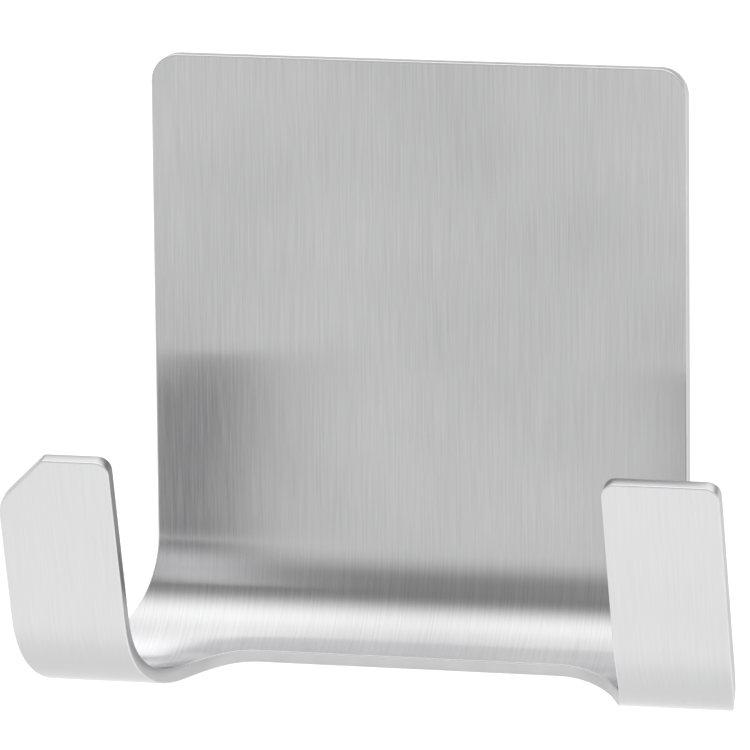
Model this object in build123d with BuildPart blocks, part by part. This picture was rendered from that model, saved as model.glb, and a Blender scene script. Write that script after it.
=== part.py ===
from build123d import *
from math import atan2, cos, degrees, radians, sin, sqrt
import os

# Self-adhesive double wall hook: one steel sheet, cut flat and bent once, on a foam mounting pad.
# Millimetres. +X to the right as seen from the room, +Y into the wall, +Z up.
# The origin is the centre of the pad's wall face.

# ---- Steel sheet ----
sheet_thickness = 1.5
plate_width = 55.5
plate_height = 50.2  # flat part, from the top edge down to where the bend starts
plate_corner_radius = 2.8

# ---- Bend at the foot of the plate ----
bend_inner_radius = 10.9
prong_lean = 17.5  # degrees that the prongs tip away from the wall

# ---- Prongs ----
prong_span = 73.7  # across the outer edges of both prongs
prong_gap = 50.0  # between the inner edges of the prongs
prong_straight = 18.2  # flat length above the bend
prong_corner_radius = 1.4
cut_corner = 5.0  # 45 degree cut across the left prong's outer top corner
cut_top_blend = 0.6  # rounding where that cut meets the top edge
cut_side_blend = 3.0  # rounding where it meets the outer edge

# ---- Outline of the flat blank inside the bend, in distances along the sheet from the bend's start ----
flare_start = -0.5  # the sides start to widen a little above the bend
flare_end = 32.6  # the sides reach the prong span
flare_first_radius = 22.0
lip_distance = 13.4  # straight lip between the prongs
lip_half_width = 15.6  # half of the lip's straight part
gap_first_radius = 7.4  # from the lip, before a longer arc runs on into the prong's inner edge
gap_first_turn = 67.0  # degrees that the first arc turns

# ---- Mounting pad ----
adhesive_thickness = 0.1
foam_thickness = 0.8
pad_inset = 2.6  # inside the plate's sides and top edge, and above the start of the bend
pad_corner_radius = 2.0

# ---- Worked out from the sizes above ----
pad_thickness = foam_thickness + 2 * adhesive_thickness
pad_width = plate_width - 2 * pad_inset
pad_height = plate_height - 2 * pad_inset
plate_front = -pad_thickness - sheet_thickness
plate_top = plate_height / 2
bend_start = -plate_height / 2
bend_mid_radius = bend_inner_radius + sheet_thickness / 2
bend_angle = 180 - prong_lean
bend_length = bend_mid_radius * radians(bend_angle)
bend_centre = Vector(0, plate_front - bend_inner_radius, bend_start)
bend_axis = Axis(bend_centre, (-1, 0, 0))
outer_edge = prong_span / 2
inner_edge = prong_gap / 2
first_turn = radians(gap_first_turn)
gap_second_rise = inner_edge - lip_half_width - gap_first_radius * sin(first_turn)
gap_second_radius = gap_second_rise / (1 - sin(first_turn))
gap_second_start = lip_distance + gap_first_radius * (1 - cos(first_turn))
gap_corner_end = gap_second_start + gap_second_radius * cos(first_turn)
gap_corner_end_angle = degrees(gap_corner_end / bend_mid_radius)

# ---- Cutters ----
cutter_margin = 2.0  # how far each cutter runs past the sheet
flare_steps = 15
gap_first_steps = 7
gap_second_steps = 10


def station(distance):
    """Plane square to the sheet, a distance along it: y points away from the bend's centre, z back up it."""
    along_bend = min(max(distance, 0), bend_length)
    angle = along_bend / bend_mid_radius
    back_up = Vector(0, sin(angle), cos(angle))
    return Plane(bend_centre - back_up * (distance - along_bend), x_dir=(1, 0, 0), z_dir=back_up)


def section(distance, left, right, margin):
    """Rectangle square to the sheet, from left to right across it, and a margin thicker than the sheet."""
    with BuildSketch(station(distance)) as rectangle:
        with Locations(((left + right) / 2, bend_mid_radius)):
            Rectangle(right - left, sheet_thickness + 2 * margin)
    return rectangle.sketch


def flare_half_width(distance):
    """Half the blank's width where its sides sweep out, in two arcs that meet in a common tangent."""
    rise = (prong_span - plate_width) / 2
    run = flare_end - flare_start
    turn = 2 * atan2(rise, run)
    second_radius = run / sin(turn) - flare_first_radius
    if distance < flare_start + flare_first_radius * sin(turn):
        along = distance - flare_start
        return plate_width / 2 + flare_first_radius - sqrt(flare_first_radius**2 - along**2)
    along = flare_end - distance
    return outer_edge - second_radius + sqrt(second_radius**2 - along**2)


def flare_sections(side):
    """Sections of what is cut away outside one flared edge; side is -1 on the left and 1 on the right."""
    outside = outer_edge + cutter_margin
    sections = []
    for step in range(flare_steps + 1):
        distance = flare_start + (flare_end - flare_start) * step / flare_steps
        edges = sorted((side * flare_half_width(distance), side * outside))
        sections.append(section(distance, *edges, cutter_margin))
    return sections


def gap_corner_sections():
    """Sections of the gap from the lip to its corners' ends. A corner is two arcs with a common tangent."""
    sections = [section(lip_distance, -lip_half_width, lip_half_width, cutter_margin)]
    for step in range(1, gap_first_steps + 1):
        turn = first_turn * step / gap_first_steps
        half_width = lip_half_width + gap_first_radius * sin(turn)
        distance = lip_distance + gap_first_radius * (1 - cos(turn))
        sections.append(section(distance, -half_width, half_width, cutter_margin))
    for step in range(1, gap_second_steps + 1):
        turn = first_turn + (radians(90) - first_turn) * step / gap_second_steps
        half_width = inner_edge - gap_second_radius * (1 - sin(turn))
        distance = gap_corner_end - gap_second_radius * cos(turn)
        sections.append(section(distance, -half_width, half_width, cutter_margin))
    return sections


# ---- Steel hook ----
with BuildPart() as bent_steel_hook:
    # Flat plate with two rounded top corners
    with BuildSketch(Plane.XZ.offset(pad_thickness)) as plate_outline:
        with Locations((0, (plate_top + bend_start - flare_start) / 2)):
            Rectangle(plate_width, plate_height + flare_start)
        top_corners = plate_outline.vertices().group_by(Axis.Y)[-1]
        fillet(top_corners, radius=plate_corner_radius)
    extrude(amount=sheet_thickness)

    # Bend at its full width, with the short straight strip where the flare starts
    full_section = section(0, -outer_edge, outer_edge, 0)
    extrude(full_section, amount=-flare_start)
    revolve(full_section, axis=bend_axis, revolution_arc=bend_angle)

    # Two flat prongs, drawn on the face that looks back at the plate
    bend_exit = station(bend_length)
    prong_plane = Plane(
        bend_exit.origin + bend_exit.y_dir * bend_inner_radius,
        x_dir=(1, 0, 0),
        z_dir=bend_exit.y_dir,
    )
    with BuildSketch(prong_plane) as left_prong:
        with BuildLine():
            Polyline(
                (-outer_edge, 0),
                (-outer_edge, prong_straight - cut_corner),
                (-outer_edge + cut_corner, prong_straight),
                (-inner_edge, prong_straight),
                (-inner_edge, 0),
                close=True,
            )
        make_face()
        cut_side, cut_top, inner_top = left_prong.vertices().filter_by(lambda v: v.Y > 0).sort_by(Axis.X)
        fillet(cut_side, radius=cut_side_blend)
        fillet(cut_top, radius=cut_top_blend)
        fillet(inner_top, radius=prong_corner_radius)
    extrude(amount=sheet_thickness)
    with BuildSketch(prong_plane) as right_prong:
        with Locations(((outer_edge + inner_edge) / 2, prong_straight / 2)):
            Rectangle(outer_edge - inner_edge, prong_straight)
        fillet(right_prong.vertices().group_by(Axis.Y)[-1], radius=prong_corner_radius)
    extrude(amount=sheet_thickness)

    # Flared sides, then the lip with its rounded corners and the rest of the gap
    loft(flare_sections(-1), mode=Mode.SUBTRACT)
    loft(flare_sections(1), mode=Mode.SUBTRACT)
    loft(gap_corner_sections(), mode=Mode.SUBTRACT)
    revolve(
        section(gap_corner_end, -inner_edge, inner_edge, cutter_margin),
        axis=bend_axis,
        revolution_arc=bend_angle - gap_corner_end_angle,
        mode=Mode.SUBTRACT,
    )

# ---- Mounting pad: an adhesive coat on each side of a foam carrier, in order from the wall ----
with BuildPart() as wall_side_adhesive:
    with BuildSketch(Plane.XZ):
        RectangleRounded(pad_width, pad_height, pad_corner_radius)
    extrude(amount=adhesive_thickness)

with BuildPart() as foam_core:
    with BuildSketch(Plane.XZ.offset(adhesive_thickness)):
        RectangleRounded(pad_width, pad_height, pad_corner_radius)
    extrude(amount=foam_thickness)

with BuildPart() as plate_side_adhesive:
    with BuildSketch(Plane.XZ.offset(adhesive_thickness + foam_thickness)):
        RectangleRounded(pad_width, pad_height, pad_corner_radius)
    extrude(amount=adhesive_thickness)

# ---- One STEP file for each piece ----
bent_steel_hook.part.label = "bent_steel_hook"
wall_side_adhesive.part.label = "wall_side_adhesive"
foam_core.part.label = "foam_core"
plate_side_adhesive.part.label = "plate_side_adhesive"

os.makedirs("parts", exist_ok=True)
export_step(bent_steel_hook.part, "parts/bent_steel_hook.step")
export_step(wall_side_adhesive.part, "parts/wall_side_adhesive.step")
export_step(foam_core.part, "parts/foam_core.step")
export_step(plate_side_adhesive.part, "parts/plate_side_adhesive.step")
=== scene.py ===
import math

import bpy
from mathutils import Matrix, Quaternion, Vector, noise
from mathutils.geometry import delaunay_2d_cdt


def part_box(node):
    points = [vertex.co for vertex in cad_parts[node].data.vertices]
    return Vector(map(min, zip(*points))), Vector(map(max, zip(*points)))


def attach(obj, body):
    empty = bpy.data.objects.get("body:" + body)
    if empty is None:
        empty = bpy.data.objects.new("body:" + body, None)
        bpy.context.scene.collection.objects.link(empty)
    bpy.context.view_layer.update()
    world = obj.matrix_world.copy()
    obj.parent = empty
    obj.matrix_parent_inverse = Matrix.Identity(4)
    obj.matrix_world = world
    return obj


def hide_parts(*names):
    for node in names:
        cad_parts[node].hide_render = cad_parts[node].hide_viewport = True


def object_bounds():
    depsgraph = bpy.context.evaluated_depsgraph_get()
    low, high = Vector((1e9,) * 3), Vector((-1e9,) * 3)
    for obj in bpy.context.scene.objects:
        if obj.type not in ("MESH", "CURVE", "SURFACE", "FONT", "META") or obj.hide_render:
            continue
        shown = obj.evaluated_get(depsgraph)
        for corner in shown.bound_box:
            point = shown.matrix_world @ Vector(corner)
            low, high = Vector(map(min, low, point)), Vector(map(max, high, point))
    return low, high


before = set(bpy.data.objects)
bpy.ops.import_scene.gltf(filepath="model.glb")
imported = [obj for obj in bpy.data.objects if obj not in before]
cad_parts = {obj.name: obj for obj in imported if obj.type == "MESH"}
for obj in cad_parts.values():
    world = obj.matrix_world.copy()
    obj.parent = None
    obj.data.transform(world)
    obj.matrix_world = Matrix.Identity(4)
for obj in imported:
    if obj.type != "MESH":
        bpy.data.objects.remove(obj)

# A self-adhesive double wall hook: one sheet of brushed stainless steel, cut flat and bent once,
# on a foam mounting pad. Metres. +X to the right as seen from the room, +Y into the wall, +Z up.

CAD_LOW, CAD_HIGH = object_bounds()
MM = 0.001

# ---- Steel sheet, as designed ----
SHEET_THICKNESS = 1.5 * MM
PLATE_WIDTH = 55.5 * MM
PLATE_CORNER_RADIUS = 2.8 * MM
BEND_INNER_RADIUS = 10.9 * MM
BEND_ANGLE = math.radians(162.5)
PRONG_GAP = 50 * MM
PRONG_STRAIGHT = 18.2 * MM
PRONG_CORNER_RADIUS = 1.4 * MM
CUT_CORNER = 5 * MM
CUT_TOP_BLEND = 0.6 * MM
CUT_SIDE_BLEND = 3 * MM
FLARE_START = -0.5 * MM
FLARE_END = 32.6 * MM
FLARE_FIRST_RADIUS = 22 * MM
LIP_DISTANCE = 13.4 * MM
LIP_HALF_WIDTH = 15.6 * MM
GAP_FIRST_RADIUS = 7.4 * MM
GAP_FIRST_TURN = 67  # degrees
PAD_CORNER_RADIUS = 2 * MM

# ---- Places and sizes that the frame gives ----
STEEL_LOW, STEEL_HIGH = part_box("bent_steel_hook")
BEND_MID_RADIUS = BEND_INNER_RADIUS + SHEET_THICKNESS / 2
BEND_LENGTH = BEND_MID_RADIUS * BEND_ANGLE
BEND_START_Z = STEEL_LOW.z + BEND_INNER_RADIUS + SHEET_THICKNESS
PLATE_FRONT_Y = STEEL_HIGH.y - SHEET_THICKNESS
PLATE_HEIGHT = STEEL_HIGH.z - BEND_START_Z
OUTER_EDGE = (STEEL_HIGH.x - STEEL_LOW.x) / 2
INNER_EDGE = PRONG_GAP / 2
PRONG_END = BEND_LENGTH + PRONG_STRAIGHT

# ---- How finely the surfaces are divided ----
CUT_ROUNDING = 0.12 * MM  # the cut edges are deburred to this radius
CUT_ROUNDING_STEPS = 3
FACE_MARGIN = 0.1 * MM  # a narrow flat strip inside each rounded edge keeps the shading clean
BEND_ROW_TURN = math.radians(2)
COLUMN_SPACING = 1.0 * MM
ROW_SPACING = 1.6 * MM
OUTLINE_SPACING = 0.35 * MM
ARC_STEP = math.radians(9)
SPACING_SLACK = 0.01  # share of a step that a run may be over before it is divided once more
CAP_INSIDE_ONLY = 1  # the triangulation keeps what lies inside the outline
CAP_MERGE = 1e-8
PAD_EDGE_SPACING = 0.15 * MM
PAD_FILL_SPACING = 1.5 * MM
FOAM_RINGS = 8

# ---- Pad edges ----
FOAM_BULGE = 0.1 * MM
FOAM_CELL = 0.22 * MM
FOAM_PIT_DEPTH = 0.12 * MM
COAT_ROUNDING = 0.04 * MM
COAT_WAVE = 0.12 * MM
COAT_WAVE_LENGTH = 2.5 * MM
COAT_RINGS = 4

# ---- Steel finish ----
STEEL_DARK = 0.55
STEEL_LIGHT = 0.69
STEEL_COOLNESS = 1.012  # how much more blue than red and green
STEEL_ROUGHNESS = 0.21
ROUGHNESS_CHANGE = 0.03  # either way, from line to line
LINES_PER_METRE = 5200
LINE_LENGTH = 9 * MM
BROAD_SHARE = 0.15
BROAD_ACROSS = 0.14  # how often the broad streaks change across the sheet, against the fine lines
BROAD_ALONG = 0.35
BROAD_OFFSET = 7.0  # takes the broad streaks from another part of the noise
STEEL_PATCH_SIZE = 30 * MM
STEEL_GRAIN_SIZE = 0.4 * MM
PATCH_CONTRAST = 0.5
SCRATCH_DEPTH = 0.001 * MM
FRONT_CONTRAST = 0.9  # how strongly the scratches show on the face that looks into the room
BACK_CONTRAST = 0.3  # the sheet's other face, which comes round to the front of the prongs, is finer
CUT_EDGE_TONES = (0.50, 0.58)
CUT_EDGE_ROUGHNESS = (0.3, 0.42)
# The rounded corners get lighter steel than the faces: a painted highlight along the sheet's edges
ROUNDED_CORNER_HIGHLIGHT_TONES = (0.76, 0.84)
ROUNDED_CORNER_ROUGHNESS = (0.4, 0.5)
EDGE_PATCH_SIZE = 3 * MM
EDGE_GRAIN_SIZE = 0.12 * MM
EDGE_RELIEF = 0.0015 * MM
LINES_SPAN = (0.25, 0.75)  # the noise behind the lines and patches hardly leaves this span
GRAIN_SPAN = (0.3, 0.7)

# ---- Pad finish ----
FOAM_DARK = (0.60, 0.60, 0.585, 1)
FOAM_LIGHT = (0.80, 0.80, 0.785, 1)
FOAM_ROUGHNESS = (0.8, 0.95)
FOAM_PATCH_SIZE = 2 * MM
FOAM_GRAIN_SIZE = 0.1 * MM
FOAM_PATCH_WEIGHT = 0.5
FOAM_CELL_WEIGHT = 0.6
FOAM_RELIEF = 0.03 * MM
ADHESIVE_DARK = (0.66, 0.62, 0.52, 1)
ADHESIVE_LIGHT = (0.80, 0.77, 0.69, 1)
ADHESIVE_ROUGHNESS = (0.22, 0.34)
ADHESIVE_PATCH_SIZE = 6 * MM
ADHESIVE_GRAIN_SIZE = 0.5 * MM
ADHESIVE_RELIEF = 0.02 * MM
RIPPLES_PER_METRE = (900, 60, 60)
BUBBLES_PER_METRE = 450.0
BUBBLE_EDGE = (0.08, 0.16)  # distance from a bubble's middle where it fades out, as a share of the spacing
BUBBLE_TONE = 0.35
BUBBLE_HEIGHT = 0.4

# ---- Camera ----
VIEW_AZIMUTH = math.radians(14.13)
VIEW_ELEVATION = math.radians(11.38)
VIEW_ROLL = math.radians(-0.59)
VIEW_DISTANCE = 872 * MM
VIEW_LENS = 418.5
VIEW_AIM = Vector((-1.4, 0, 1.6)) * MM  # from the middle of the object

# ---- Studio light: radiance at each elevation in degrees, in front of the hook and behind it ----
BRIGHTEST = 2.0
FRONT_LIGHT = (
    (-90, 1.05), (-60, 1.2), (-45, 1.25), (-30, 1.0), (-18, 0.84), (-8, 0.83),
    (-1, 0.77), (7, 0.61), (15, 0.42), (21, 0.36), (37, 0.34), (43, 0.47),
    (50, 0.93), (56, 1.34), (62, 1.54), (70, 1.48), (80, 1.12), (90, 0.97),
)
BACK_LIGHT = (
    (-90, 1.05), (-45, 1.0), (-20, 1.05), (13, 1.15), (19, 0.30),
    (28, 0.27), (43, 1.60), (60, 1.70), (90, 0.97),
)
CHANGEOVER = (-0.35, 0.25)  # how far a direction points into the wall as front light gives way to back light
OVERHEAD_ENERGY = 1.2
OVERHEAD_WIDTH = math.radians(80)
OVERHEAD_TILT = math.radians(25)
OVERHEAD_TURN = math.radians(-20)

# ---- Floor ----
FLOOR_DROP = 60 * MM  # below the lowest point of the hook
FLOOR_FRONT = 0.25
FLOOR_BACK = 3.0
FLOOR_HALF_WIDTH = 1.5
FLOOR_TONES = (0.90, 0.92)
FLOOR_ROUGHNESS = 0.9
FLOOR_MOTTLE = 30.0
FLOOR_RELIEF = 0.01 * MM


# ---------------------------------------------------------------- node helpers


def add_node(tree, kind, inputs=(), **settings):
    """A node with its settings. Each input, by name or index, is a socket to link or a value to set."""
    node = tree.nodes.new(kind)
    for name, value in settings.items():
        setattr(node, name, value)
    for key, value in dict(inputs).items():
        if isinstance(value, bpy.types.NodeSocket):
            tree.links.new(value, node.inputs[key])
        else:
            node.inputs[key].default_value = value
    return node


def calculate(tree, operation, *values):
    """The result of one step of arithmetic on sockets or numbers."""
    return add_node(tree, "ShaderNodeMath", enumerate(values), operation=operation).outputs[0]


def mix_colours(tree, factor, first, second):
    return add_node(tree, "ShaderNodeMix", {0: factor, 6: first, 7: second}, data_type="RGBA").outputs[2]


def spread(tree, value, low, high, to_low, to_high):
    """A value that changes from low to high, spread over another span."""
    inputs = {"Value": value, "From Min": low, "From Max": high, "To Min": to_low, "To Max": to_high}
    return add_node(tree, "ShaderNodeMapRange", inputs).outputs[0]


def add_sockets(tree, direction, kind, names):
    for name in names:
        tree.interface.new_socket(name=name, in_out=direction, socket_type=kind)


def grey(level):
    return (level, level, level, 1)


def steel_grey(level):
    """Grey with the faint cool cast of stainless steel."""
    return (level, level, level * STEEL_COOLNESS, 1)


def new_piece(name, mesh):
    piece = bpy.data.objects.new(name, mesh)
    bpy.context.scene.collection.objects.link(piece)
    mesh.name = name
    return piece


def stand_for(piece, node):
    """Puts a finished piece in the place of a CAD node, on the hook's one body."""
    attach(piece, "root")
    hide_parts(node)


# ---------------------------------------------------------------- outlines and slabs


def arc(centre, radius, start, end):
    """Points round an arc from start to end degrees, at most an arc step or the outline's spacing apart."""
    turn = math.radians(end - start)
    steps = max(math.ceil(abs(turn) * radius / OUTLINE_SPACING), math.ceil(abs(turn) / ARC_STEP))
    angles = [math.radians(start) + turn * i / steps for i in range(steps + 1)]
    return [(centre[0] + radius * math.cos(a), centre[1] + radius * math.sin(a)) for a in angles]


def divide(outline, spacing):
    """The closed outline with its straight runs divided to a spacing that depends on the run's ends."""
    points = []
    for (x0, z0), (x1, z1) in zip(outline, outline[1:] + outline[:1]):
        length = math.hypot(x1 - x0, z1 - z0)
        steps = max(1, math.ceil(length / spacing(z0, z1) - SPACING_SLACK))
        points += [(x0 + (x1 - x0) * i / steps, z0 + (z1 - z0) * i / steps) for i in range(steps)]
    return points


def inward_directions(outline):
    """Unit direction inwards at each point of a closed outline that turns clockwise as seen from the room."""
    directions = []
    for i in range(len(outline)):
        along = Vector(outline[(i + 1) % len(outline)]) - Vector(outline[i - 1])
        along.normalize()
        directions.append((along.y, -along.x))
    return directions


def inset(outline, gap):
    """The closed outline moved inwards by a gap."""
    directions = inward_directions(outline)
    return [(x + in_x * gap, z + in_z * gap) for (x, z), (in_x, in_z) in zip(outline, directions)]


def inside(outline, x, z, clear):
    """Whether a point lies inside the outline and clear of its points."""
    crossings = False
    for (x0, z0), (x1, z1) in zip(outline, outline[1:] + outline[:1]):
        if abs(x0 - x) < clear and abs(z0 - z) < clear:
            return False
        if (z0 > z) != (z1 > z) and x < x0 + (x1 - x0) * (z - z0) / (z1 - z0):
            crossings = not crossings
    return crossings


def add_cap(vertices, faces, edge_start, edge, fill, y, faces_room):
    """Closes a ring of points that are already among the vertices with triangles through the fill points."""
    count = len(edge)
    loop = list(range(count))
    found, _, triangles, origins, _, _ = delaunay_2d_cdt(
        [Vector(p) for p in edge + fill], [], [loop[::-1]], CAP_INSIDE_ONLY, CAP_MERGE
    )
    places = []
    for point, origin in zip(found, origins):
        if min(origin) < count:
            places.append(edge_start + min(origin))
        else:
            places.append(len(vertices))
            vertices.append((point.x, y, point.y))
    for triangle in triangles:
        corners = [places[i] for i in triangle]
        faces.append(corners if faces_room else corners[::-1])


def mark_faces(mesh, name, chosen):
    """Marks each face whose number passes a test."""
    mark = mesh.attributes.new(name, "BOOLEAN", "FACE")
    mark.data.foreach_set("value", [chosen(i) for i in range(len(mesh.polygons))])


def slab(name, outline, rings, fill, pit=None):
    """A closed slab with its edge on rings of (gap, y) from front to back. pit deepens it point by point."""
    count = len(outline)
    directions = inward_directions(outline)
    vertices, faces = [], []
    for gap, y in rings:
        for (x, z), (in_x, in_z) in zip(inset(outline, gap), directions):
            depth = pit(x, y, z) if pit and rings[0][1] < y < rings[-1][1] else 0.0
            vertices.append((x + in_x * depth, y, z + in_z * depth))
    for ring in range(len(rings) - 1):
        near, far = ring * count, (ring + 1) * count
        for i in range(count):
            j = (i + 1) % count
            faces.append((near + i, near + j, far + j, far + i))
    edge_faces = len(faces)
    add_cap(vertices, faces, 0, inset(outline, rings[0][0]), fill, rings[0][1], True)
    back_cap = len(faces)
    last = (len(rings) - 1) * count
    add_cap(vertices, faces, last, inset(outline, rings[-1][0]), fill, rings[-1][1], False)
    mesh = bpy.data.meshes.new(name)
    mesh.from_pydata(vertices, [], faces)

    # On the steel, the first and last strips of the edge are flat margins that belong to its two faces
    back_margin = edge_faces - count
    rounding = (CUT_ROUNDING_STEPS + 1) * count
    mark_faces(mesh, "cut_edge", lambda i: count <= i < back_margin)
    mark_faces(
        mesh, "rounded_corner", lambda i: count <= i < rounding or edge_faces - rounding <= i < back_margin
    )
    mark_faces(mesh, "back_face", lambda i: back_margin <= i < edge_faces or i >= back_cap)
    mesh.shade_smooth()
    return mesh


# ---------------------------------------------------------------- steel: the flat blank


def flared_side():
    """Right edge of the blank from the plate out to the prong: two arcs that meet in a common tangent."""
    run = FLARE_END - FLARE_START
    turn = 2 * math.atan2(OUTER_EDGE - PLATE_WIDTH / 2, run)
    second_radius = run / math.sin(turn) - FLARE_FIRST_RADIUS
    degrees = math.degrees(turn)
    first = arc((PLATE_WIDTH / 2 + FLARE_FIRST_RADIUS, -FLARE_START), FLARE_FIRST_RADIUS, 180, 180 + degrees)
    second = arc((OUTER_EDGE - second_radius, -FLARE_END), second_radius, degrees, 0)
    return first + second[1:]


def square_prong_end():
    """End of a prong with two rounded corners, from its outer edge to its inner edge."""
    r = PRONG_CORNER_RADIUS
    outer = arc((OUTER_EDGE - r, r - PRONG_END), r, 0, -90)
    return outer + arc((INNER_EDGE + r, r - PRONG_END), r, -90, -180)


def cut_prong_end():
    """The same with the outer corner cut away at 45 degrees, drawn for the right side."""
    r = PRONG_CORNER_RADIUS
    half_turn = math.tan(math.radians(45 / 2))
    side = (OUTER_EDGE - CUT_SIDE_BLEND, CUT_CORNER + CUT_SIDE_BLEND * half_turn - PRONG_END)
    top = (OUTER_EDGE - CUT_CORNER - CUT_TOP_BLEND * half_turn, CUT_TOP_BLEND - PRONG_END)
    cut = arc(side, CUT_SIDE_BLEND, 0, -45) + arc(top, CUT_TOP_BLEND, -45, -90)
    return cut + arc((INNER_EDGE + r, r - PRONG_END), r, -90, -180)


def gap_corner():
    """From a prong's inner edge round to the lip: two arcs that meet in a common tangent."""
    turn = math.radians(GAP_FIRST_TURN)
    rise = INNER_EDGE - LIP_HALF_WIDTH - GAP_FIRST_RADIUS * math.sin(turn)
    second_radius = rise / (1 - math.sin(turn))
    first_z = -LIP_DISTANCE - GAP_FIRST_RADIUS
    second_z = first_z + (GAP_FIRST_RADIUS - second_radius) * math.cos(turn)
    second = arc((INNER_EDGE - second_radius, second_z), second_radius, 0, 90 - GAP_FIRST_TURN)
    first = arc((LIP_HALF_WIDTH, first_z), GAP_FIRST_RADIUS, 90 - GAP_FIRST_TURN, 90)
    return second + first[1:]


def half_outline(prong_end):
    """Right half of the outline, from the plate's top edge round the prong to the lip."""
    r = PLATE_CORNER_RADIUS
    plate_corner = arc((PLATE_WIDTH / 2 - r, PLATE_HEIGHT - r), r, 90, 0)
    return plate_corner + flared_side() + prong_end + gap_corner()


def run_spacing(z0, z1):
    """Straight runs are divided finely where the sheet is going to bend."""
    bends = min(z0, z1) < 0 and max(z0, z1) > -BEND_LENGTH
    return OUTLINE_SPACING if bends else COLUMN_SPACING


def row_heights():
    """Heights of the rows of points inside the blank, evenly turned round the bend."""
    plate_rows = round(PLATE_HEIGHT / ROW_SPACING)
    bend_rows = round(BEND_ANGLE / BEND_ROW_TURN)
    prong_rows = round(PRONG_STRAIGHT / ROW_SPACING)
    heights = [PLATE_HEIGHT * (1 - i / plate_rows) for i in range(1, plate_rows)]
    heights += [-BEND_LENGTH * i / bend_rows for i in range(bend_rows + 1)]
    return heights + [-BEND_LENGTH - PRONG_STRAIGHT * i / prong_rows for i in range(1, prong_rows)]


def rounded_edge():
    """(gap, depth) pairs round a cut edge, from the sheet's front face to its back face."""
    half = [(CUT_ROUNDING + FACE_MARGIN, 0.0)]
    for step in range(CUT_ROUNDING_STEPS + 1):
        turn = math.radians(90 * step / CUT_ROUNDING_STEPS)
        half.append((CUT_ROUNDING * (1 - math.sin(turn)), CUT_ROUNDING * (1 - math.cos(turn))))
    return half + [(gap, SHEET_THICKNESS - depth) for gap, depth in reversed(half)]


def flat_blank():
    """The cut sheet before it is bent, standing up with its front at y = 0 and the bend's start at z = 0."""
    right = half_outline(square_prong_end())
    left = [(-x, z) for x, z in reversed(half_outline(cut_prong_end()))]
    outline = divide(right + left, run_spacing)
    face = inset(outline, CUT_ROUNDING + FACE_MARGIN)
    columns = round(OUTER_EDGE / COLUMN_SPACING)
    across = [OUTER_EDGE * i / columns for i in range(-columns, columns + 1)]
    fill = [(x, z) for z in row_heights() for x in across if inside(face, x, z, OUTLINE_SPACING)]
    return slab("flat_blank", outline, rounded_edge(), fill)


# ---------------------------------------------------------------- steel: the bend


def bend_tree(front_steel, back_steel, cut_steel, painted_highlight_corner_steel):
    """Geometry nodes that wrap the standing blank round the bend and give it its four steel finishes."""
    tree = bpy.data.node_groups.new("bend_the_blank", "GeometryNodeTree")
    sizes = ["Bend Inner Radius", "Bend Mid Radius", "Bend Length", "Bend Start Height", "Plate Front"]
    add_sockets(tree, "INPUT", "NodeSocketGeometry", ["Blank"])
    add_sockets(tree, "INPUT", "NodeSocketFloat", sizes)
    add_sockets(tree, "OUTPUT", "NodeSocketGeometry", ["Hook"])
    given = tree.nodes.new("NodeGroupInput").outputs
    position = add_node(tree, "GeometryNodeInputPosition").outputs[0]
    flat = add_node(tree, "ShaderNodeSeparateXYZ", {0: position}).outputs

    # Distance along the sheet from the bend's start, and how much of it lies in the bend
    distance = calculate(tree, "MULTIPLY", flat["Z"], -1.0)
    below_plate = calculate(tree, "MAXIMUM", distance, 0.0)
    in_bend = calculate(tree, "MINIMUM", below_plate, given["Bend Length"])
    beyond = calculate(tree, "SUBTRACT", distance, in_bend)
    angle = calculate(tree, "DIVIDE", in_bend, given["Bend Mid Radius"])
    sine = calculate(tree, "SINE", angle)
    cosine = calculate(tree, "COSINE", angle)

    # Out from the bend's centre by the radius, and on along the sheet by what lies beyond the bend
    radius = calculate(tree, "ADD", given["Bend Inner Radius"], flat["Y"])
    centre_y = calculate(tree, "SUBTRACT", given["Plate Front"], given["Bend Inner Radius"])
    out_y = calculate(tree, "MULTIPLY_ADD", radius, cosine, centre_y)
    on_y = calculate(tree, "MULTIPLY", beyond, sine)
    out_z = calculate(tree, "MULTIPLY", radius, sine)
    down_z = calculate(tree, "MULTIPLY_ADD", beyond, cosine, out_z)
    bent = {
        "X": flat["X"],
        "Y": calculate(tree, "SUBTRACT", out_y, on_y),
        "Z": calculate(tree, "SUBTRACT", given["Bend Start Height"], down_z),
    }
    bent = add_node(tree, "ShaderNodeCombineXYZ", bent).outputs[0]

    # The flat coordinates stay on the sheet as a UV map, so that the brushing follows it round the bend
    across_and_up = add_node(tree, "ShaderNodeCombineXYZ", {"X": flat["X"], "Y": flat["Z"]}).outputs[0]
    stored = {"Geometry": given["Blank"], "Name": "blank", "Value": across_and_up}
    mapped = add_node(
        tree, "GeometryNodeStoreNamedAttribute", stored, data_type="FLOAT2", domain="CORNER"
    ).outputs[0]
    wrapped = add_node(tree, "GeometryNodeSetPosition", {"Geometry": mapped, "Position": bent}).outputs[0]
    real = add_node(tree, "GeometryNodeRealizeInstances", {"Geometry": wrapped}).outputs[0]
    faced = add_node(tree, "GeometryNodeSetMaterial", {"Geometry": real, "Material": front_steel}).outputs[0]
    marks = (("back_face", back_steel), ("cut_edge", cut_steel), ("rounded_corner", painted_highlight_corner_steel))
    for mark, finish in marks:
        marked = add_node(tree, "GeometryNodeInputNamedAttribute", {"Name": mark}, data_type="BOOLEAN")
        chosen = {"Geometry": faced, "Selection": marked.outputs["Attribute"], "Material": finish}
        faced = add_node(tree, "GeometryNodeSetMaterial", chosen).outputs[0]
    add_node(tree, "NodeGroupOutput", {"Hook": faced})
    return tree


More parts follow.
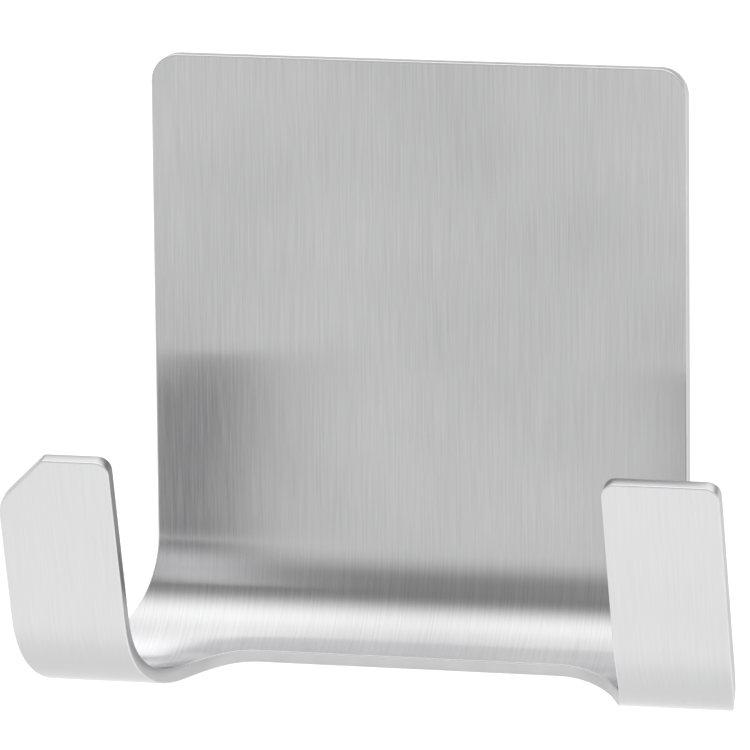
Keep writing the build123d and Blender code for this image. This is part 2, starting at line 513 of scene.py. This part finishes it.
def steel_hook(*finishes):
    """The blank bent into the hook. Its finishes: front, back, cut edges and their rounded corners, with a
    painted highlight on the corners.
    """
    tree = bend_tree(*finishes)
    sizes = {
        "Bend Inner Radius": BEND_INNER_RADIUS,
        "Bend Mid Radius": BEND_MID_RADIUS,
        "Bend Length": BEND_LENGTH,
        "Bend Start Height": BEND_START_Z,
        "Plate Front": PLATE_FRONT_Y,
    }
    piece = new_piece("brushed_steel_sheet", flat_blank())
    modifier = piece.modifiers.new("bend", "NODES")
    modifier.node_group = tree
    for item in tree.interface.items_tree:
        if item.name in sizes:
            modifier[item.identifier] = sizes[item.name]
    evaluated = piece.evaluated_get(bpy.context.evaluated_depsgraph_get())
    bent = bpy.data.meshes.new_from_object(evaluated)
    piece.modifiers.remove(modifier)
    piece.data = bent
    bent.shade_smooth()
    stand_for(piece, "bent_steel_hook")


# ---------------------------------------------------------------- mounting pad


def pad_outline(low, high):
    """The pad's rounded rectangle, clockwise as seen from the room."""
    r = PAD_CORNER_RADIUS
    corners = arc((high.x - r, high.z - r), r, 90, 0) + arc((high.x - r, low.z + r), r, 0, -90)
    corners += arc((low.x + r, low.z + r), r, -90, -180) + arc((low.x + r, high.z - r), r, 180, 90)
    return divide(corners, lambda z0, z1: PAD_EDGE_SPACING)


def pad_fill(low, high):
    """Points spread over the middle of the pad's faces."""
    margin = PAD_CORNER_RADIUS / 2
    across = round((high.x - low.x) / PAD_FILL_SPACING)
    up = round((high.z - low.z) / PAD_FILL_SPACING)
    xs = [low.x + margin + (high.x - low.x - 2 * margin) * i / across for i in range(across + 1)]
    zs = [low.z + margin + (high.z - low.z - 2 * margin) * i / up for i in range(up + 1)]
    return [(x, z) for z in zs for x in xs]


def foam_pit(x, y, z):
    """Depth of the opened cells on the foam's cut edge."""
    place = Vector((x, y, z)) / FOAM_CELL
    opened = FOAM_PIT_DEPTH * max(0.0, noise.noise(place))
    return opened + FOAM_PIT_DEPTH / 3 * abs(noise.noise(place * 3))


def foam_pad(material):
    """The foam carrier: its cut edge bulges between the adhesive coats and shows its opened cells."""
    low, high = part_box("foam_core")
    rings = []
    for ring in range(FOAM_RINGS + 1):
        share = ring / FOAM_RINGS
        rings.append((FOAM_BULGE * (1 - math.sin(math.pi * share)), low.y + (high.y - low.y) * share))
    mesh = slab("foam_pad", pad_outline(low, high), rings, pad_fill(low, high), foam_pit)
    mesh.materials.append(material)
    piece = new_piece("foam_pad", mesh)
    stand_for(piece, "foam_core")


def adhesive_coat(name, node, material):
    """One thin coat of adhesive, with the soft wavy edge that the knife leaves."""
    low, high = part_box(node)
    rings = []
    for ring in range(COAT_RINGS + 1):
        share = ring / COAT_RINGS
        rings.append((COAT_ROUNDING * (1 - math.sin(math.pi * share)), low.y + (high.y - low.y) * share))

    def wave(x, y, z):
        return COAT_WAVE * (1 + noise.noise(Vector((x, 0, z)) / COAT_WAVE_LENGTH)) / 2

    mesh = slab(name, pad_outline(low, high), rings, pad_fill(low, high), wave)
    mesh.materials.append(material)
    stand_for(new_piece(name, mesh), node)


# ---------------------------------------------------------------- finishes


def brushed_lines_group():
    """Fine parallel scratches along the second axis of a flat vector, and broader streaks among them."""
    tree = bpy.data.node_groups.new("brushed_lines", "ShaderNodeTree")
    add_sockets(tree, "INPUT", "NodeSocketVector", ["Flat Position"])
    add_sockets(tree, "INPUT", "NodeSocketFloat", ["Lines per Metre", "Line Length", "Broad Share"])
    add_sockets(tree, "OUTPUT", "NodeSocketFloat", ["Lines", "Fine Lines"])
    given = tree.nodes.new("NodeGroupInput").outputs
    flat = add_node(tree, "ShaderNodeSeparateXYZ", {0: given["Flat Position"]}).outputs
    across = calculate(tree, "MULTIPLY", flat["X"], given["Lines per Metre"])
    along = calculate(tree, "DIVIDE", flat["Y"], given["Line Length"])
    fine_place = add_node(tree, "ShaderNodeCombineXYZ", {"X": across, "Y": along}).outputs[0]
    broad_across = calculate(tree, "MULTIPLY", across, BROAD_ACROSS)
    broad_along = calculate(tree, "MULTIPLY", along, BROAD_ALONG)
    broad_inputs = {"X": broad_across, "Y": broad_along, "Z": BROAD_OFFSET}
    broad_place = add_node(tree, "ShaderNodeCombineXYZ", broad_inputs).outputs[0]
    fine = add_node(
        tree, "ShaderNodeTexNoise", {"Vector": fine_place, "Scale": 1.0, "Detail": 3.0, "Roughness": 0.65}
    ).outputs["Fac"]
    broad = add_node(
        tree, "ShaderNodeTexNoise", {"Vector": broad_place, "Scale": 1.0, "Detail": 4.0, "Roughness": 0.6}
    ).outputs["Fac"]
    both = add_node(tree, "ShaderNodeMix", {0: given["Broad Share"], 2: fine, 3: broad}).outputs[0]
    add_node(tree, "NodeGroupOutput", {"Lines": both, "Fine Lines": fine})
    return tree


def patches_group():
    """Soft uneven patches, such as handling and a finish's slow changes of tone leave on a surface."""
    tree = bpy.data.node_groups.new("uneven_patches", "ShaderNodeTree")
    add_sockets(tree, "INPUT", "NodeSocketVector", ["Position"])
    add_sockets(tree, "INPUT", "NodeSocketFloat", ["Patch Size", "Grain Size"])
    add_sockets(tree, "OUTPUT", "NodeSocketFloat", ["Patches", "Grain"])
    given = tree.nodes.new("NodeGroupInput").outputs
    patch_scale = calculate(tree, "DIVIDE", 1.0, given["Patch Size"])
    grain_scale = calculate(tree, "DIVIDE", 1.0, given["Grain Size"])
    patches = {"Vector": given["Position"], "Scale": patch_scale, "Detail": 2.0}
    grain = {"Vector": given["Position"], "Scale": grain_scale, "Detail": 3.0}
    outputs = {
        "Patches": add_node(tree, "ShaderNodeTexNoise", patches).outputs["Fac"],
        "Grain": add_node(tree, "ShaderNodeTexNoise", grain).outputs["Fac"],
    }
    add_node(tree, "NodeGroupOutput", outputs)
    return tree


def new_material(name):
    material = bpy.data.materials.new(name)
    material.use_nodes = True
    material.node_tree.nodes.clear()
    return material, material.node_tree


def finish_surface(tree, height, depth, **sockets):
    """Ends a material in its shader, with a relief of the given depth in metres."""
    normal = add_node(tree, "ShaderNodeBump", {"Height": height, "Distance": depth}).outputs[0]
    inputs = {name.replace("_", " "): value for name, value in sockets.items()}
    shader = add_node(tree, "ShaderNodeBsdfPrincipled", {**inputs, "Normal": normal})
    add_node(tree, "ShaderNodeOutputMaterial", {"Surface": shader.outputs[0]})


def add_tone(tree, patches, place, patch_size, grain_size):
    """Outputs of the uneven patches, laid out by a position, with their two sizes in metres."""
    inputs = {"Position": place, "Patch Size": patch_size, "Grain Size": grain_size}
    return add_node(tree, "ShaderNodeGroup", inputs, node_tree=patches).outputs


def face_steel(name, lines_group, patches, contrast):
    """Brushed stainless: scratches up the sheet, so highlights spread across it."""
    material, tree = new_material(name)
    flat = add_node(tree, "ShaderNodeUVMap", uv_map="blank").outputs[0]
    brushing = {
        "Flat Position": flat,
        "Lines per Metre": LINES_PER_METRE,
        "Line Length": LINE_LENGTH,
        "Broad Share": BROAD_SHARE,
    }
    lines = add_node(tree, "ShaderNodeGroup", brushing, node_tree=lines_group).outputs
    tone = add_tone(tree, patches, flat, STEEL_PATCH_SIZE, STEEL_GRAIN_SIZE)
    streaked = spread(tree, lines["Lines"], *LINES_SPAN, 0.5 - contrast / 2, 0.5 + contrast / 2)
    shift = PATCH_CONTRAST * contrast
    patchy = spread(tree, tone["Patches"], *LINES_SPAN, shift, -shift)
    toned = calculate(tree, "ADD", patchy, streaked)
    colour = mix_colours(tree, toned, steel_grey(STEEL_DARK), steel_grey(STEEL_LIGHT))
    change = ROUGHNESS_CHANGE * contrast
    smooth, rough = STEEL_ROUGHNESS - change, STEEL_ROUGHNESS + change
    roughness = spread(tree, lines["Fine Lines"], *LINES_SPAN, smooth, rough)
    across = add_node(tree, "ShaderNodeTangent", direction_type="UV_MAP", uv_map="blank").outputs[0]
    finish_surface(
        tree,
        lines["Fine Lines"],
        SCRATCH_DEPTH * contrast,
        Base_Color=colour,
        Metallic=1.0,
        Roughness=roughness,
        Anisotropic=1.0,
        Tangent=across,
    )
    return material


def edge_steel(name, patches, tones, roughness_span):
    """Steel without a brushing direction, for the sheet's cut edges and their rounded corners, where lighter
    tones paint a highlight.
    """
    material, tree = new_material(name)
    here = add_node(tree, "ShaderNodeTexCoord").outputs["Object"]
    tone = add_tone(tree, patches, here, EDGE_PATCH_SIZE, EDGE_GRAIN_SIZE)
    dark, light = tones
    colour = mix_colours(tree, tone["Patches"], steel_grey(dark), steel_grey(light))
    roughness = spread(tree, tone["Grain"], *GRAIN_SPAN, *roughness_span)
    finish_surface(tree, tone["Grain"], EDGE_RELIEF, Base_Color=colour, Metallic=1.0, Roughness=roughness)
    return material


def foam_material(patches):
    """Off-white closed-cell foam, matt, with a cell texture."""
    material, tree = new_material("closed_cell_foam")
    here = add_node(tree, "ShaderNodeTexCoord").outputs["Object"]
    tone = add_tone(tree, patches, here, FOAM_PATCH_SIZE, FOAM_GRAIN_SIZE)
    cell_inputs = {"Vector": here, "Scale": 1 / FOAM_CELL}
    cells = add_node(tree, "ShaderNodeTexVoronoi", cell_inputs).outputs["Distance"]
    cell_shade = calculate(tree, "MULTIPLY", cells, FOAM_CELL_WEIGHT)
    shade = calculate(tree, "MULTIPLY_ADD", tone["Patches"], FOAM_PATCH_WEIGHT, cell_shade)
    colour = mix_colours(tree, shade, FOAM_DARK, FOAM_LIGHT)
    roughness = spread(tree, tone["Grain"], *GRAIN_SPAN, *FOAM_ROUGHNESS)
    finish_surface(tree, cells, FOAM_RELIEF, Base_Color=colour, Roughness=roughness)
    return material


def adhesive_material(patches):
    """Tacky acrylic coat: cream and glossy, with the faint ripple of its coating and small bubbles."""
    material, tree = new_material("acrylic_adhesive")
    here = add_node(tree, "ShaderNodeTexCoord").outputs["Object"]
    tone = add_tone(tree, patches, here, ADHESIVE_PATCH_SIZE, ADHESIVE_GRAIN_SIZE)
    stretch = {"Vector": here, "Scale": RIPPLES_PER_METRE}
    ripple_place = add_node(tree, "ShaderNodeMapping", stretch).outputs[0]
    ripple_inputs = {"Vector": ripple_place, "Scale": 1.0, "Detail": 2.0}
    ripple = add_node(tree, "ShaderNodeTexNoise", ripple_inputs).outputs["Fac"]
    bubble_inputs = {"Vector": here, "Scale": BUBBLES_PER_METRE}
    bubbles = add_node(tree, "ShaderNodeTexVoronoi", bubble_inputs).outputs["Distance"]
    bubbles = spread(tree, bubbles, *BUBBLE_EDGE, 1.0, 0.0)
    shade = calculate(tree, "MULTIPLY_ADD", bubbles, BUBBLE_TONE, tone["Patches"])
    colour = mix_colours(tree, shade, ADHESIVE_DARK, ADHESIVE_LIGHT)
    roughness = spread(tree, tone["Grain"], *GRAIN_SPAN, *ADHESIVE_ROUGHNESS)
    relief = calculate(tree, "MULTIPLY_ADD", bubbles, BUBBLE_HEIGHT, ripple)
    finish_surface(tree, relief, ADHESIVE_RELIEF, Base_Color=colour, Roughness=roughness)
    return material


# ---------------------------------------------------------------- studio


def elevation_ramp(tree, elevation, stops):
    """Grey level against elevation, as a share of the brightest."""
    place = spread(tree, elevation, -math.pi / 2, math.pi / 2, 0.0, 1.0)
    ramp = add_node(tree, "ShaderNodeValToRGB", {"Fac": place})
    elements = ramp.color_ramp.elements
    elements.remove(elements[1])
    elements[0].position = 0.0
    elements[0].color = grey(stops[0][1] / BRIGHTEST)
    for degrees, level in stops[1:]:
        elements.new((degrees + 90) / 180).color = grey(level / BRIGHTEST)
    return ramp.outputs[0]


def soft_studio():
    """A white studio all round: bright high up, with a darker band some way above the horizon."""
    world = bpy.data.worlds.new("soft_studio")
    world.use_nodes = True
    bpy.context.scene.world = world
    tree = world.node_tree
    tree.nodes.clear()
    direction = add_node(tree, "ShaderNodeTexCoord").outputs["Generated"]
    parts = add_node(tree, "ShaderNodeSeparateXYZ", {0: direction}).outputs
    elevation = calculate(tree, "ARCSINE", parts["Z"])
    behind = spread(tree, parts["Y"], *CHANGEOVER, 0.0, 1.0)
    front_light = elevation_ramp(tree, elevation, FRONT_LIGHT)
    back_light = elevation_ramp(tree, elevation, BACK_LIGHT)
    light = mix_colours(tree, behind, front_light, back_light)
    seen = add_node(tree, "ShaderNodeLightPath").outputs["Is Camera Ray"]
    level = mix_colours(tree, seen, light, grey(1 / BRIGHTEST))
    background = add_node(tree, "ShaderNodeBackground", {"Color": level, "Strength": BRIGHTEST})
    add_node(tree, "ShaderNodeOutputWorld", {"Surface": background.outputs[0]})


def overhead_light():
    """A wide even light for the matt surfaces. The steel shows the studio round it instead."""
    light = bpy.data.lights.new("overhead_light", "SUN")
    light.energy = OVERHEAD_ENERGY
    light.angle = OVERHEAD_WIDTH
    lamp = bpy.data.objects.new("overhead_light", light)
    lamp.rotation_euler = (OVERHEAD_TILT, 0, OVERHEAD_TURN)
    lamp.visible_glossy = False
    bpy.context.scene.collection.objects.link(lamp)


def white_floor():
    mesh = bpy.data.meshes.new("white_floor")
    z = CAD_LOW.z - FLOOR_DROP
    x, front, back = FLOOR_HALF_WIDTH, -FLOOR_FRONT, FLOOR_BACK
    mesh.from_pydata([(-x, front, z), (x, front, z), (x, back, z), (-x, back, z)], [], [(0, 1, 2, 3)])
    material, tree = new_material("matt_white_floor")
    here = add_node(tree, "ShaderNodeTexCoord").outputs["Object"]
    mottle = add_node(tree, "ShaderNodeTexNoise", {"Vector": here, "Scale": FLOOR_MOTTLE}).outputs["Fac"]
    dark, light = FLOOR_TONES
    colour = mix_colours(tree, mottle, grey(dark), grey(light))
    finish_surface(tree, mottle, FLOOR_RELIEF, Base_Color=colour, Roughness=FLOOR_ROUGHNESS)
    mesh.materials.append(material)
    floor = bpy.data.objects.new("white_floor", mesh)
    bpy.context.scene.collection.objects.link(floor)
    floor.visible_glossy = False


def camera():
    """A long lens, a little to the right of the hook and above it."""
    lens = bpy.data.cameras.new("long_lens")
    lens.lens = VIEW_LENS
    lens.clip_start, lens.clip_end = 0.05, 20
    viewer = bpy.data.objects.new("camera", lens)
    bpy.context.scene.collection.objects.link(viewer)
    across, up = math.cos(VIEW_ELEVATION), math.sin(VIEW_ELEVATION)
    back = Vector((math.sin(VIEW_AZIMUTH) * across, -math.cos(VIEW_AZIMUTH) * across, up))
    viewer.location = (CAD_LOW + CAD_HIGH) / 2 + VIEW_AIM + back * VIEW_DISTANCE
    viewer.rotation_mode = "QUATERNION"
    viewer.rotation_quaternion = (-back).to_track_quat("-Z", "Y") @ Quaternion((0, 0, 1), VIEW_ROLL)
    bpy.context.scene.camera = viewer


# ---------------------------------------------------------------- the object

brushed_lines = brushed_lines_group()
uneven_patches = patches_group()
coat = adhesive_material(uneven_patches)
front = face_steel("brushed_stainless_front", brushed_lines, uneven_patches, FRONT_CONTRAST)
back = face_steel("satin_stainless_back", brushed_lines, uneven_patches, BACK_CONTRAST)
cut = edge_steel("cut_stainless_edge", uneven_patches, CUT_EDGE_TONES, CUT_EDGE_ROUGHNESS)
# The rounded corners' lighter steel is a painted highlight along the edges
corner = edge_steel(
    "stainless_corner_painted_highlight", uneven_patches, ROUNDED_CORNER_HIGHLIGHT_TONES, ROUNDED_CORNER_ROUGHNESS
)
steel_hook(front, back, cut, corner)
adhesive_coat("plate_adhesive_coat", "plate_side_adhesive", coat)
foam_pad(foam_material(uneven_patches))
adhesive_coat("wall_adhesive_coat", "wall_side_adhesive", coat)
soft_studio()
overhead_light()
white_floor()
camera()
bpy.context.scene.view_settings.view_transform = "Standard"
